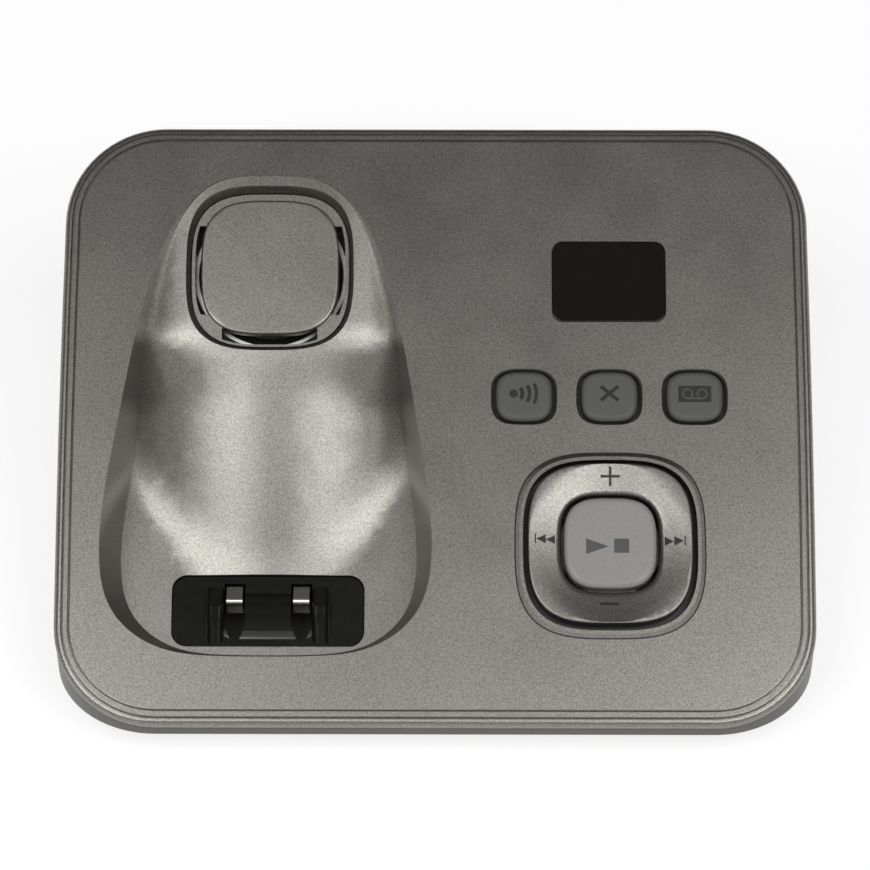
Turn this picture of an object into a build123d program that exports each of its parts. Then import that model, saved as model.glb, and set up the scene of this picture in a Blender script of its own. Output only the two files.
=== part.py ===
from build123d import *
import os
from math import atan, copysign, cos, degrees, pi, radians, sin

os.makedirs("parts", exist_ok=True)

# Housing: a wedge with a tilted rounded-rectangle face
case_width = 145.0
face_length = 119.0
face_tilt = 25.0
corner_radius = 19.5
side_bow = 0.5
front_height = 11.0
wall = 2.2
floor_wall = 2.2
undercut = 7.6

# Rim round the face: groove, flat band, groove, rounded bead
rim_height = 3.0
bead_width = 1.3
bead_drop = 0.6
bead_round = 1.1
groove_width = 0.3
groove_depth = 0.9
band_width = 1.0
band_drop = 0.15
parting_gap = 0.4
parting_depth = 0.6
tongue_wall = 1.4
tongue_depth = 2.2
tongue_clearance = 0.25

# Handset cradle: a bell-shaped recess with a crowned back rest
cradle_x = -32.3
bell_half = 28.7
bell_taper = 0.168
bell_power = 3.5
bell_middle = 1.45
bell_half_length = 47.85
rest_top_v = 51.0
shoulder_slope = 0.05
shoulder_v = 16.0
shoulder_round = 0.8
rest_slope = 0.27
rest_radius = 50.0
edge_reach = 22.0
edge_drop = 1.8
crown_end = 4.0
crown_fade = 16.0
side_slope = 4.5
seat_w = -14.0
seat_round = 2.0
shell_wall = 2.0
grid_step = 2.5
bell_points = 24

# Speaker under the top of the cradle
speaker_v = 30.8
speaker_lean = 3.3
ledge_w = -3.3
ledge_wall = 1.25
opening_size = 31.0
opening_flare = 2.7
flare_height = 2.9
pad_size = 26.9
pad_shift = 0.5
pad_rise = 0.95
pad_round = 0.5
slot_width = 1.2
side_slot_length = 17.8
front_slot_length = 18.6
front_slot_width = 1.9
cover_clearance = 0.2
cover_flange = 36.4
flange_drop = 2.45
flange_wall = 1.0
gasket_wall = 0.8
gasket_bore = 30.0
frame_diameter = 36.0
frame_wall = 0.8
frame_depth = 8.0
magnet_diameter = 20.0
magnet_length = 7.0
cone_neck = 12.0
cone_wall = 0.5
speaker_screw_circle = 46.5
ear_room = 1.0

# Display
display_x = 33.5
display_v = 27.8
window_width = 21.9
window_height = 16.1
window_corner = 2.2
window_wall = 1.2
window_recess = 0.15
window_ledge = 1.2
window_clearance = 0.12
module_clearance = 1.0
module_gap = 0.6

# Three keys in a row
key_x = 33.4
key_pitch = 16.4
key_v = 4.6
key_width = 10.7
key_height = 9.8
key_side_gap = 0.68
key_end_gap = 0.35
key_rise = 0.8
key_round = 0.9
hole_flare = 0.35
key_flange = 1.2
key_flange_wall = 0.8
key_flange_gap = 0.4
key_stem = 5.0
key_travel = 0.5
dome_gap = 0.1
dome_base = 7.0
mat_wall = 0.8
mat_margin = 2.0
stem_drop = 1.6

# Four-way ring with a button in its middle
ring_x = 33.3
ring_v = -24.3
ring_size = 31.3
ring_gap = 1.0
ring_shift = 0.4
ring_rise = 0.75
ring_dish = 1.4
ring_wall = 1.5
ring_well = 18.7
well_round = 1.2
ring_web = 1.9
ring_flange = 1.85
ring_flange_wall = 0.9
ring_flange_gap = 1.1
lip_width = 1.35
lip_rise = 0.6
lip_line = 0.25
lip_line_depth = 0.35
peg_diameter = 2.0
peg_length = 0.8
ring_travel = 0.5
collar_wall = 0.6
collar_gap = 0.8
collar_bore = 21.2
play_clearance = 0.55
play_rise = 0.9
play_round = 1.0
play_flange = 19.5
play_flange_gap = 0.7
play_flange_wall = 0.8
play_stem = 5.0
play_travel = 0.6
switch_size = 4.5
switch_height = 1.1
squircle_power = 3.2

# Boards
board_wall = 1.6
control_drop = 7.0
control_left = 8.0
control_right = 60.0
control_front = -43.5
control_rear = 36.0
control_boss = 5.0
board_boss_inset = 4.0
main_width = 100.0
main_depth = 50.0
main_rear_gap = 8.0
main_post = 5.6
post_diameter = 6.0
chip_places = ((36.0, -15.0, 12.0, 12.0), (-8.0, -14.0, 9.0, 7.0), (36.0, 8.0, 8.0, 6.0))
chip_height = 1.4
shield_height = 4.0
shield_wall = 0.4
antenna_length = 20.0
antenna_height = 9.0
antenna_wall = 0.6
connector_width = 14.0
connector_depth = 5.0
connector_height = 4.5
ribbon_width = 10.0
ribbon_wall = 0.35
ribbon_bend = 3.0
ribbon_x = 24.0
ribbon_v = 4.0
ribbon_y = 15.0
shield_x = 4.0
shield_y = 22.0
shield_width = 26.0
shield_depth = 22.0
capacitor_diameter = 8.0
capacitor_places = ((-42.0, -4.0), (-31.0, -4.0))
capacitor_height = 11.0
antenna_left_x = 6.0
antenna_right_x = 36.0

# Charging terminals at the foot of the cradle
holder_width = 37.3
holder_rear = -27.5
holder_front = -41.6
holder_corner = 3.0
holder_clearance = 0.2
holder_floor = 1.6
holder_wall = 1.8
holder_flange = 2.6
boss_width = 23.6
boss_ridge_v = -34.2
boss_ridge_w = -12.4
boss_back_v = -29.8
boss_foot_w = -15.4
rib_width = 3.3
rib_rise = 1.3
rib_round = 1.2
terminal_pitch = 12.9
terminal_slot = 4.05
terminal_slot_rear = -29.1
terminal_slot_front = -40.2
slot_taper_width = 1.2
slot_taper_length = 2.6
contact_width = 3.1
contact_wall = 0.4
contact_proud = 0.1
contact_back = 0.9
contact_bend = 0.8
wire_diameter = 1.0
wire_bend = 3.0
lead_gap = 1.2
lead_shift = 4.0

# Jacks at the rear
jack_clearance = 0.3
jack_recess = 0.6
dc_x = -36.0
dc_width = 9.0
dc_height = 11.0
dc_length = 14.0
dc_bore = 6.3
dc_bore_depth = 10.0
dc_pin = 2.0
line_x = -20.0
line_width = 13.0
line_height = 12.0
line_length = 16.0
socket_width = 9.8
socket_height = 7.2
socket_depth = 11.0
line_pin = 0.5
line_pin_pitch = 1.1

# Fasteners, feet and wall slots
screw_diameter = 3.0
screw_head = 5.6
screw_head_wall = 2.0
screw_bite = 8.0
small_screw = 2.2
small_head = 4.2
small_head_wall = 1.4
small_bite = 4.0
screw_clearance = 0.2
case_boss = 7.0
case_boss_x = 60.0
case_boss_front = -42.0
case_boss_rear = 40.0
boss_seat_front = 8.0
boss_seat_rear = 22.0
foot_height = 1.2
foot_sink = 0.5
foot_diameter = 9.0
foot_x = 54.0
foot_y = 37.0
foot_clearance = 0.15
keyhole_pitch = 83.0
keyhole_y = 26.0
keyhole_head = 8.0
keyhole_slot = 4.2
keyhole_length = 8.0

# Places that follow from the sizes above
UP = (Align.CENTER, Align.CENTER, Align.MIN)
tilt_sin = sin(radians(face_tilt))
tilt_cos = cos(radians(face_tilt))
face_y = -rim_height * tilt_sin
face_z = front_height + face_length / 2 * tilt_sin + rim_height * tilt_cos
face_plane = Plane((0, face_y, face_z), x_dir=(1, 0, 0), z_dir=(0, -tilt_sin, tilt_cos))
down = (0, -tilt_sin, -tilt_cos)
rim_width = bead_width + groove_width + band_width + groove_width
control_top = -control_drop
control_bottom = control_top - board_wall
floor_top = foot_height + floor_wall
main_bottom = floor_top + main_post
main_top = main_bottom + board_wall
rear_out = face_length / 2 * tilt_cos
rear_in = rear_out - wall * tilt_cos
main_rear = rear_in - main_rear_gap
main_y = main_rear - main_depth / 2
keys = {"locator_key": -1, "erase_key": 0, "answer_key": 1}


def on_face(shape):
    return face_plane.location * shape


def at_face(u, v, w):
    """World point of a point given in the face frame"""
    return face_plane.from_local_coords((u, v, w))


def slab(sketch, low, high):
    return Pos(0, 0, low) * extrude(sketch, high - low)


def post(x, y, low, high, diameter):
    return Pos(x, y, low) * Cylinder(diameter / 2, high - low, align=UP)


def block(x, y, low, width, depth, height):
    return Pos(x, y, low) * Box(width, depth, height, align=UP)


def squircle(width, height):
    """Closed curve between an ellipse and a rectangle"""
    points = []
    for i in range(40):
        c, s = cos(2 * pi * i / 40), sin(2 * pi * i / 40)
        x = copysign(abs(c) ** (2 / squircle_power), c) * width / 2
        y = copysign(abs(s) ** (2 / squircle_power), s) * height / 2
        points.append((x, y))
    return make_face(Spline(*points, periodic=True))


def outline(inset):
    """Face outline with bowed sides, drawn inward by an inset"""
    half_w = case_width / 2 - inset
    half_l = face_length / 2 - inset
    edge = half_w - side_bow
    right = ThreePointArc((edge, -half_l), (half_w, 0), (edge, half_l))
    left = ThreePointArc((-edge, half_l), (-half_w, 0), (-edge, -half_l))
    rear = Line(right @ 1, left @ 0)
    front = Line(left @ 1, right @ 0)
    sheet = make_face(right + rear + left + front)
    return fillet(sheet.vertices(), corner_radius - inset)


def round_top(solid, radius):
    """Round the edges of the highest flat face"""
    return fillet(solid.faces().sort_by(Axis.Z)[-1].edges(), radius)


def wire(points, bend):
    """Round lead along straight runs joined by arcs"""
    path = FilletPolyline(*points, radius=bend)
    section = Plane(origin=path @ 0, z_dir=path % 0) * Circle(wire_diameter / 2)
    return sweep(section, path)


# Cradle surface
def blend(a, b, size):
    """Larger of two heights with a rounded valley between them"""
    return max(a, b) + max(size - abs(a - b), 0) ** 2 / (4 * size)


def rise(v, start, length):
    """Smooth step from nought to one along the face"""
    part = min(max((v - start) / length, 0), 1)
    return part * part * (3 - 2 * part)


def ridge(v):
    """Middle line of the back rest, level at the rear and steep to the front"""
    shoulder = -shoulder_slope * (rest_top_v - v)
    bend_w = -shoulder_slope * (rest_top_v - shoulder_v)
    rest = bend_w - rest_slope * (shoulder_v - v)
    return -blend(-rest, -shoulder, shoulder_round)


def cradle_floor(u, v):
    """Height of the back rest, rolled off beside its shoulder and crowned ahead of it, and of the seat"""
    back = rise(v, crown_end, crown_fade)
    crown = (1 - back) * u**2 / (2 * rest_radius)
    roll = back * edge_drop * (u / edge_reach) ** 4
    return blend(ridge(v) - crown - roll, seat_w, seat_round)


def above_floor():
    """Everything above the cradle floor"""
    reach_u = bell_half + bell_taper * bell_half_length + 4
    low_v = bell_middle - bell_half_length - 4
    high_v = bell_middle + bell_half_length + 4
    count_u = round(2 * reach_u / grid_step)
    count_v = round((high_v - low_v) / grid_step)
    rows = []
    for i in range(count_u + 1):
        u = -reach_u + 2 * reach_u * i / count_u
        spots = [low_v + (high_v - low_v) * j / count_v for j in range(count_v + 1)]
        rows.append([(u, v, cradle_floor(u, v)) for v in spots])
    sheet = Face.make_surface_from_array_of_points(rows, tol=0.02, min_deg=3, max_deg=3)
    return Pos(cradle_x, 0, 0) * extrude(sheet, 60, dir=(0, 0, 1))


def bell(grow):
    """Bell outline, drawn wider or narrower by a growth on every side"""
    points = []
    for i in range(bell_points):
        c, s = cos(2 * pi * i / bell_points), sin(2 * pi * i / bell_points)
        reach = (abs(c) ** bell_power + abs(s) ** bell_power) ** (-1 / bell_power)
        along = bell_middle + s * reach * bell_half_length
        half = bell_half - bell_taper * along + grow
        points.append((c * reach * half, along + s * reach * grow))
    return make_face(Spline(*points, periodic=True))


def tapered_bell(grow, low, high):
    """Bell with sloping sides, at its drawn size in the plane of the face"""
    ends = [Pos(0, 0, w) * bell(grow + w / side_slope) for w in (low, high)]
    return Pos(cradle_x, 0, 0) * loft(ends, ruled=True)


def under_rest():
    """Space under the back rest, crowned like it"""
    lean = degrees(atan(rest_slope))
    bar = Pos(0, 0, -rest_radius) * Cylinder(rest_radius, 300, rotation=(90, 0, 0))
    top_w = ridge(shoulder_v) - 1.1 * shell_wall
    space = Pos(cradle_x, shoulder_v, top_w) * Rot(lean, 0, 0) * bar
    return space & block(cradle_x, 0, seat_w - 2 * shell_wall, 100, 200, -seat_w - wall)


def cradle_plug():
    """Solid under the recess, one shell wall larger than it"""
    low = seat_w - shell_wall
    return tapered_bell(shell_wall + 0.2, low, -wall / 2) - under_rest()


def cradle_recess():
    """Space that the handset drops into"""
    return tapered_bell(0, seat_w - shell_wall, wall) & above_floor()


# Top cover
def rim_and_panel():
    """Bead, band and face panel stepped by two grooves, hollow below"""
    body = round_top(slab(outline(0), -rim_height, -bead_drop), bead_round)
    body -= slab(outline(bead_width), -bead_drop - groove_depth, 1)
    band = slab(outline(bead_width + groove_width), -rim_height, -band_drop)
    body += round_top(band, groove_width)
    body -= slab(outline(rim_width - groove_width), -band_drop - groove_depth, 1)
    body += round_top(slab(outline(rim_width), -rim_height, 0), groove_width)
    return body - slab(outline(wall), -rim_height, -wall)


def tongue():
    """Lip that drops into the lower casing along its walls"""
    inner = wall + tongue_clearance
    ring = outline(inner) - outline(inner + tongue_wall)
    lip = extrude(Pos(0, 0, -rim_height) * ring, tongue_depth, dir=down)
    return lip + slab(ring, -rim_height, -wall)


def key_place(index):
    return Pos(key_x + index * key_pitch, key_v, 0)


def key_hole():
    """Hole for a key, flared at its upper edge"""
    width, height = key_width + 2 * key_side_gap, key_height + 2 * key_end_gap
    grow = 4 * hole_flare
    low = Pos(0, 0, -hole_flare) * squircle(width, height)
    high = Pos(0, 0, hole_flare) * squircle(width + grow, height + grow)
    return slab(squircle(width, height), -wall - 1, 0) + loft([low, high])


def face_openings():
    """Holes for the keys, the ring and the window with its rebate"""
    holes = [key_place(i) * key_hole() for i in keys.values()]
    ring = squircle(ring_size + 2 * ring_gap, ring_size + 2 * ring_gap)
    holes.append(ring_hole_place() * slab(ring, -wall - 1, lip_rise + 1))
    grow = 2 * window_clearance
    rebate = RectangleRounded(window_width + grow, window_height + grow, window_corner)
    clear = 2 * window_ledge
    through = RectangleRounded(window_width - clear, window_height - clear, window_corner / 2)
    place = Pos(display_x, display_v, 0)
    holes.append(place * slab(rebate, -window_recess - window_wall, 1))
    holes.append(place * slab(through, -wall - 1, 0))
    return holes


def ring_hole_place():
    """Middle of the ring's hole, a little ahead of the ring's own middle"""
    return Pos(ring_x, ring_v - ring_shift, 0)


def ring_lip():
    """Raised border round the ring's hole"""
    hole = ring_size + 2 * ring_gap
    low = squircle(hole + 2 * lip_width, hole + 2 * lip_width)
    high = Pos(0, 0, lip_rise) * squircle(hole + lip_width, hole + lip_width)
    return ring_hole_place() * (loft([low, high]) + slab(low, -wall / 2, 0))


def lip_groove():
    """Fine line in the panel round the raised border"""
    size = ring_size + 2 * ring_gap + 2 * lip_width
    grown = size + 2 * lip_line
    band = squircle(grown, grown) - squircle(size, size)
    return ring_hole_place() * slab(band, -lip_line_depth, lip_rise)


def speaker_opening():
    """Flared opening in the skin over the speaker"""
    straight = squircle(opening_size, opening_size)
    wide = Pos(0, 0, flare_height) * squircle(opening_size + opening_flare, opening_size + opening_flare)
    tool = slab(straight, -8, 0) + loft([straight, wide])
    seat = cover_flange + 2 * cover_clearance
    tool += slab(squircle(seat, seat), -8, -flange_drop)
    return speaker_place(ledge_w) * tool


def holder_sketch(clearance):
    """Outline of the terminal opening, reduced by a clearance"""
    width = holder_width - 2 * clearance
    length = holder_rear - holder_front - 2 * clearance
    middle = (holder_rear + holder_front) / 2
    return Pos(cradle_x, middle, 0) * RectangleRounded(width, length, holder_corner)


def speaker_ears():
    """Directions of the speaker's screw ears, clear of the cradle's back rest"""
    return [Rot(0, 0, angle) * Pos(speaker_screw_circle / 2, 0, 0) for angle in (60, 120, 210, 330)]


def speaker_screw_spots():
    return [speaker_place(0) * spot for spot in speaker_ears()]


def control_corners():
    """Screw places of the control board"""
    left, right = control_left + board_boss_inset, control_right - board_boss_inset
    front, rear = control_front + board_boss_inset, control_rear - board_boss_inset
    return [Pos(u, v, 0) for u in (left, right) for v in (front, rear)]


def frame_top():
    return ledge_w - flange_drop - flange_wall - gasket_wall


def hung_bosses():
    """Bosses under the face for the speaker and the control board"""
    pilot = small_screw - 2 * screw_clearance
    bosses, bores = [], []
    for spot in speaker_screw_spots():
        reach = -wall / 2 - spot.position.Z
        bosses.append(spot * post(0, 0, frame_top(), reach, control_boss))
        bores.append(spot * post(0, 0, frame_top(), frame_top() + small_bite - 1, pilot))
        bores.append(spot * post(0, 0, 2 * seat_w, frame_top(), control_boss + ear_room))
    for spot in control_corners():
        bosses.append(spot * post(0, 0, control_top, -wall + 0.4, control_boss))
        bores.append(spot * post(0, 0, control_top, control_top + small_bite, pilot))
    return bosses, bores


def case_spots():
    """Places of the four case screws and the height of each joint"""
    return [
        (x, y, seat)
        for x in (-case_boss_x, case_boss_x)
        for y, seat in ((case_boss_front, boss_seat_front), (case_boss_rear, boss_seat_rear))
    ]


def case_bosses():
    """Upright bosses from the top cover down to the casing's posts"""
    under = Plane(at_face(0, 0, -wall / 2), x_dir=(1, 0, 0), z_dir=face_plane.z_dir)
    bosses = []
    for x, y, seat in case_spots():
        solid = post(x, y, seat, face_z * 2, case_boss)
        solid = split(solid, bisect_by=under, keep=Keep.BOTTOM)
        pilot = screw_diameter - 2 * screw_clearance
        bosses.append(solid - post(x, y, seat, seat + screw_bite, pilot))
    return bosses


def top_cover():
    body = rim_and_panel() + tongue()
    body += cradle_plug()
    bosses, bores = hung_bosses()
    body += bosses
    body -= cradle_recess()
    body -= bores
    body += ring_lip()
    body -= lip_groove()
    body -= speaker_opening()
    body -= face_openings()
    body -= slab(holder_sketch(0), seat_w - 3 * shell_wall, 1)
    body = on_face(body)
    return body + case_bosses()


# Lower casing
def casing_prism(inset, drop):
    """Upright prism below the face outline, starting a drop below the face"""
    sheet = on_face(Pos(0, 0, -drop) * outline(inset))
    return extrude(sheet, 3 * face_z, dir=(0, 0, -1))


def above(z):
    return Pos(0, 0, z) * Box(3 * case_width, 3 * face_length, 4 * face_z, align=UP)


def casing_shell():
    outer = casing_prism(0, rim_height + parting_gap) & above(foot_height)
    outer = chamfer(outer.faces().sort_by(Axis.Z)[0].edges(), undercut)
    outer += on_face(slab(outline(parting_depth), -rim_height - parting_gap - 1, -rim_height))
    return outer - casing_hollow()


def casing_hollow():
    """Inside of the casing, narrowed above the floor to follow the undercut"""
    hollow = casing_prism(wall, rim_height) & above(floor_top)
    return chamfer(hollow.faces().sort_by(Axis.Z)[0].edges(), undercut - floor_wall / 2)


def main_board_spots():
    x = main_width / 2 - board_boss_inset
    y = main_depth / 2 - board_boss_inset
    return [(sx * x, main_y + sy * y) for sx in (-1, 1) for sy in (-1, 1)]


def casing_posts():
    """Posts for the main board and wells for the case screws"""
    posts, bores = [], []
    for x, y in main_board_spots():
        posts.append(post(x, y, floor_top - 0.5, main_bottom, post_diameter))
        pilot = small_screw - 2 * screw_clearance
        bores.append(post(x, y, main_bottom - small_bite, main_bottom, pilot))
    for x, y, seat in case_spots():
        posts.append(post(x, y, floor_top - 0.5, seat, screw_head + 2 * wall))
        ledge = seat - screw_head_wall
        bores.append(post(x, y, ledge, seat, screw_diameter + 2 * screw_clearance))
        bores.append(post(x, y, foot_height - 1, ledge, screw_head + 2 * screw_clearance))
    return posts, bores


def holder_low():
    return seat_w - shell_wall - holder_clearance - holder_wall


def holder_ribs():
    """Ribs that carry the terminal holder's flange"""
    limit = Plane(at_face(0, 0, holder_low()), x_dir=(1, 0, 0), z_dir=face_plane.z_dir)
    ribs = []
    for side in (-1, 1):
        x = cradle_x + side * (holder_width / 2 + holder_flange / 2)
        y = at_face(0, (holder_front + holder_rear) / 2, holder_low()).Y
        rib = block(x, y, floor_top - 0.5, holder_flange, 8, face_z)
        ribs.append(split(rib, bisect_by=limit, keep=Keep.BOTTOM))
    return ribs


def foot_spots():
    return [Pos(x, y, 0) for x in (-foot_x, foot_x) for y in (-foot_y, foot_y)]


def keyholes():
    """Two wall-hanging slots through the floor"""
    tools = []
    for side in (-1, 1):
        x = side * keyhole_pitch / 2
        tools.append(post(x, keyhole_y, 0, floor_top + 1, keyhole_head))
        slot = block(x, keyhole_y + keyhole_length / 2, 0, keyhole_slot, keyhole_length, floor_top + 1)
        tools.append(slot + post(x, keyhole_y + keyhole_length, 0, floor_top + 1, keyhole_slot))
    return tools


def jack_holes():
    grow = 2 * jack_clearance
    y = rear_out - wall / 2
    dc = block(dc_x, y, main_top - jack_clearance, dc_width + grow, 4 * wall, dc_height + grow)
    line = block(line_x, y, main_top - jack_clearance, line_width + grow, 4 * wall, line_height + grow)
    return [dc, line]


def base_cover():
    body = casing_shell()
    posts, bores = casing_posts()
    body += posts
    body += holder_ribs()
    body -= bores
    body -= keyholes()
    body -= jack_holes()
    sink = post(0, 0, 0, foot_height + foot_sink, foot_diameter + 2 * foot_clearance)
    return body - [spot * sink for spot in foot_spots()]


# Speaker
def speaker_cover():
    """Pad on a ledge with three sound slots between them"""
    outer = opening_size - 2 * cover_clearance
    body = slab(squircle(outer, outer), -flange_drop, 0)
    rim = opening_size - 4 * cover_clearance - 2 * ledge_wall
    body -= slab(squircle(rim, rim), -flange_drop, -ledge_wall)
    flange = slab(squircle(cover_flange, cover_flange), -flange_drop - flange_wall, -flange_drop)
    body += flange - slab(squircle(rim, rim), -flange_drop - flange_wall, 0)
    pad = round_top(slab(squircle(pad_size, pad_size), -ledge_wall, pad_rise), pad_round)
    body += Pos(0, pad_shift, 0) * pad
    half = pad_size / 2
    side = slot_track(slot_width)
    body -= side & block(-half, 0, -4, half, side_slot_length, 8)
    body -= side & block(half, 0, -4, half, side_slot_length, 8)
    body -= slot_track(front_slot_width) & block(0, -half, -4, front_slot_length, half, 8)
    return speaker_place(ledge_w) * body


def slot_track(width):
    """Band of a width round the pad, through the ledge"""
    grown = pad_size + 2 * width
    band = slab(squircle(grown, grown), -5, 0) - slab(squircle(pad_size, pad_size), -6, 1)
    return Pos(0, pad_shift, 0) * band


def speaker_place(w):
    """Frame of the speaker, which leans a little to the front"""
    return Pos(cradle_x, speaker_v, 0) * Rot(speaker_lean, 0, 0) * Pos(0, 0, w)


def speaker_gasket():
    low = frame_top()
    ring = post(0, 0, low, low + gasket_wall, frame_diameter)
    return speaker_place(0) * (ring - post(0, 0, low, low + gasket_wall, gasket_bore))


def speaker_frame():
    """Flange with four ears and a tapered basket"""
    top = frame_top()
    neck = magnet_diameter - 2 * frame_wall
    body = post(0, 0, top - frame_wall, top, frame_diameter)
    cup = Cone(neck / 2, gasket_bore / 2, frame_depth, align=UP)
    body += Pos(0, 0, top - frame_depth) * cup
    ears, bores = [], []
    ear_length = (speaker_screw_circle - frame_diameter) / 2 + 1
    for spot in speaker_ears():
        low = top - frame_wall
        ears.append(spot * post(0, 0, low, top, control_boss))
        ears.append(spot * block(-ear_length / 2, 0, low, ear_length, control_boss, frame_wall))
        bores.append(spot * post(0, 0, top - 1, top, small_screw + 2 * screw_clearance))
    body += ears
    body -= bores
    inside = Cone(neck / 2 - frame_wall, gasket_bore / 2 - frame_wall, frame_depth - frame_wall, align=UP)
    return speaker_place(0) * (body - Pos(0, 0, top - frame_depth + frame_wall) * inside)


def speaker_cone():
    """Paper cone with a domed cap, hung just inside the basket's mouth"""
    top = frame_top() - frame_wall
    depth = frame_depth / 2
    edge = gasket_bore / 2 - 3 * frame_wall
    outer = Cone(cone_neck / 2, edge, depth, align=UP)
    inner = Pos(0, 0, cone_wall) * Cone(cone_neck / 2, edge, depth, align=UP)
    cap = Pos(0, 0, depth / 2) * Sphere(cone_neck / 2) & post(0, 0, 0, depth, cone_neck)
    return speaker_place(top - depth) * (outer - inner + cap)


def speaker_magnet():
    low = frame_top() - frame_depth - magnet_length
    body = post(0, 0, low, low + magnet_length, magnet_diameter)
    return speaker_place(0) * chamfer(body.edges(), 0.5)


def small_screws(spots, seat, bite):
    """Pan-head screws driven upward from a seat"""
    made = []
    pilot = small_screw - 2 * screw_clearance
    for spot in spots:
        head = round_head(small_head, small_head_wall)
        made.append(spot * (Pos(0, 0, seat) * (head + post(0, 0, 0, bite, pilot))))
    return made


def round_head(diameter, height):
    head = Pos(0, 0, -height) * Cylinder(diameter / 2, height, align=UP)
    head = fillet(head.edges().sort_by(Axis.Z)[0], height / 2)
    slot = block(0, 0, -height, diameter, 0.6, height / 2)
    cross = block(0, 0, -height, 0.6, diameter / 2, height / 2)
    return head - (slot & post(0, 0, -height, 0, diameter / 2)) - cross


# Display
def display_window():
    sheet = RectangleRounded(window_width, window_height, window_corner)
    low = -window_recess - window_wall
    body = slab(sheet, low, -window_recess)
    return Pos(display_x, display_v, 0) * round_top(body, 0.2)


def display_module():
    """Two-digit block standing on the control board"""
    clear = 2 * window_ledge + 2 * module_clearance
    width, height = window_width - clear, window_height - clear
    top = -window_recess - window_wall - module_gap
    return block(display_x, display_v, control_top, width, height, top - control_top)


# Keys
def key_low():
    return -wall - key_flange_gap - key_flange_wall


def dome_top():
    return key_low() - key_travel - dome_gap - stem_drop


def key(index):
    """Cap with a keeping flange and a stem over its dome"""
    cap = round_top(slab(squircle(key_width, key_height), key_low(), key_rise), key_round)
    width = key_width + 2 * key_side_gap + 2 * key_flange
    height = key_height + 2 * key_end_gap + 2 * key_flange
    cap += slab(squircle(width, height), key_low(), key_low() + key_flange_wall)
    cap += post(0, 0, key_low() - stem_drop, key_low(), key_stem)
    return key_place(index) * cap


def key_mat():
    """Rubber sheet with one dome under each key"""
    width = 2 * key_pitch + dome_base + 2 * mat_margin
    sheet = block(key_x, key_v, control_top, width, dome_base + 2 * mat_margin, mat_wall)
    high = dome_top() - control_top - mat_wall
    dome = Pos(0, 0, control_top + mat_wall) * Cone(dome_base / 2, key_stem / 2, high, align=UP)
    return sheet + [key_place(i) * dome for i in keys.values()]


# Ring and play button
def ring_low():
    return -wall - ring_flange_gap - ring_flange_wall


def ring_under():
    """Underside of the ring's dished web"""
    return ring_rise - ring_dish - ring_web


def nav_ring():
    """Dished four-way ring with a keeping flange and four pegs"""
    body = slab(squircle(ring_size, ring_size), ring_low(), ring_rise)
    body = round_top(body, 0.4)
    radius = ((ring_size / 2) ** 2 + ring_dish**2) / (2 * ring_dish)
    body -= Pos(0, 0, ring_rise - ring_dish + radius) * Sphere(radius)
    wide = ring_size + 2 * ring_gap + 2 * ring_flange
    body += slab(squircle(wide, wide), ring_low(), ring_low() + ring_flange_wall)
    inside = ring_size - 2 * ring_wall
    body -= slab(squircle(inside, inside), ring_low(), ring_under())
    body -= slab(squircle(ring_well, ring_well), ring_low(), ring_rise + 1)
    body = fillet(well_edge(body), well_round)
    for spot in ring_switch_spots():
        body += spot * post(0, 0, ring_low() - peg_length, ring_low(), peg_diameter)
    return Pos(ring_x, ring_v, 0) * body


def well_edge(body):
    """Upper edge of the well in the middle of the ring"""
    inner = body.edges().filter_by(lambda e: abs(e.bounding_box().size.X - ring_well) < 0.1)
    return inner.sort_by(Axis.Z)[-1]


def ring_switch_spots():
    return list(PolarLocations(ring_size / 2, 4))


def nav_collar():
    """Rubber collar on which the ring tips"""
    high = ring_under() - collar_gap
    size = ring_size - 2 * ring_wall - 2 * collar_gap
    body = slab(squircle(size, size), high - collar_wall, high)
    body -= post(0, 0, high - collar_wall, high, collar_bore)
    return Pos(ring_x, ring_v, 0) * body


def play_low():
    return ring_under() - play_flange_gap - play_flange_wall


def play_button():
    size = ring_well - 2 * play_clearance
    cap = round_top(slab(squircle(size, size), play_low(), play_rise), play_round)
    cap += post(0, 0, play_low(), play_low() + play_flange_wall, play_flange)
    cap += post(0, 0, switch_top() + play_travel + dome_gap, play_low(), play_stem)
    return Pos(ring_x, ring_v, 0) * cap


def switch_top():
    return ring_low() - peg_length - ring_travel - dome_gap


def key_switches():
    """Switches under the ring's pegs and under the play button"""
    high = switch_top() - control_top
    body = block(0, 0, control_top, switch_size, switch_size, high)
    spots = ring_switch_spots() + [Location((0, 0, 0))]
    return [Pos(ring_x, ring_v, 0) * Pos(*spot.position) * body for spot in spots]


def message_led():
    side = switch_size
    return block(ring_x + side, ring_v + side, control_top, 3, 2, switch_height)


# Boards
def control_board():
    width, length = control_right - control_left, control_rear - control_front
    u, v = (control_right + control_left) / 2, (control_rear + control_front) / 2
    body = block(u, v, control_bottom, width, length, board_wall)
    bore = post(0, 0, control_bottom, control_top, small_screw + 2 * screw_clearance)
    return body - [spot * bore for spot in control_corners()]


def control_board_screws():
    return small_screws(control_corners(), control_bottom, board_wall + small_bite - 1)


def main_board():
    body = block(0, main_y, main_bottom, main_width, main_depth, board_wall)
    bore = small_screw + 2 * screw_clearance
    return body - [post(x, y, main_bottom, main_top, bore) for x, y in main_board_spots()]


def main_board_screws():
    made = []
    pilot = small_screw - 2 * screw_clearance
    for x, y in main_board_spots():
        screw = Rot(180, 0, 0) * round_head(small_head, small_head_wall)
        screw += post(0, 0, -board_wall - small_bite + 0.5, 0, pilot)
        made.append(Pos(x, y, main_top) * screw)
    return made


def shield_can():
    body = block(shield_x, shield_y, main_top, shield_width, shield_depth, shield_height)
    width = shield_width - 2 * shield_wall
    depth = shield_depth - 2 * shield_wall
    return body - block(shield_x, shield_y, main_top, width, depth, shield_height - shield_wall)


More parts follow.
